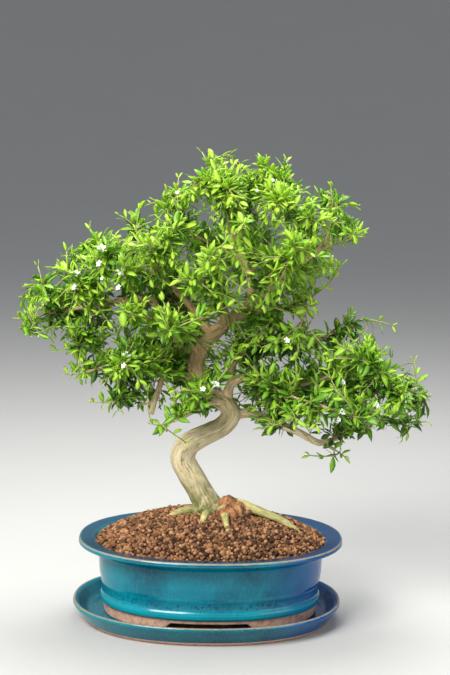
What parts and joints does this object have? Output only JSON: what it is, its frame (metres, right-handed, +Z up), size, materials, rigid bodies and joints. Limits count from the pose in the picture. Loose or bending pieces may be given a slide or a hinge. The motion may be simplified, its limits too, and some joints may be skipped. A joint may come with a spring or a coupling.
{
  "type": "serissa bonsai",
  "caption": "Small flowering tree with a bent trunk and leafy sprays, planted in soil in a glazed oval pot that stands on its saucer.",
  "frame": {"origin": "middle of the saucer's flat underside, under the middle of the pot", "axes": "+Z up, +X to the viewer's right along the pot's long side, +Y away from the viewer"},
  "size_m": [0.4047, 0.2383, 0.4608],
  "materials": {
    "saucer_glaze": "glossy blue-green glaze",
    "pot_glaze": "glossy teal and cobalt glaze with fine streaks",
    "soil": "rough baked-clay grains",
    "bark": "pale matt bark",
    "mesh": "plain",
    "leaf": "living leaf, softly glossy",
    "petal": "matt white petal"
  },
  "bodies": {
    "root": {"bloom_01": "petal", "bloom_02": "petal", "bloom_03": "petal", "bloom_04": "petal", "bloom_05": "petal", "bloom_06": "petal", "bloom_07": "petal", "bloom_08": "petal", "bloom_09": "petal", "drain_mesh_left": "mesh", "drain_mesh_right": "mesh", "pot": "pot_glaze", "saucer": "saucer_glaze", "soil": "soil", "spray_01": "leaf", "spray_02": "leaf", "spray_03": "leaf", "spray_04": "leaf", "spray_05": "leaf", "spray_06": "leaf", "spray_07": "leaf", "spray_08": "leaf", "spray_09": "leaf", "spray_10": "leaf", "spray_11": "leaf", "spray_12": "leaf", "spray_13": "leaf", "spray_14": "leaf", "spray_15": "leaf", "spray_16": "leaf", "spray_17": "leaf", "spray_18": "leaf", "spray_19": "leaf", "spray_20": "leaf", "spray_21": "leaf", "spray_22": "leaf", "spray_23": "leaf", "spray_24": "leaf", "spray_25": "leaf", "spray_26": "leaf", "spray_27": "leaf", "spray_28": "leaf", "spray_29": "leaf", "spray_30": "leaf", "spray_31": "leaf", "spray_32": "leaf", "spray_33": "leaf", "spray_34": "leaf", "spray_35": "leaf", "spray_36": "leaf", "spray_37": "leaf", "spray_38": "leaf", "spray_39": "leaf", "spray_40": "leaf", "spray_41": "leaf", "spray_42": "leaf", "spray_43": "leaf", "spray_44": "leaf", "spray_45": "leaf", "trunk": "bark"}
  },
  "joints": []
}
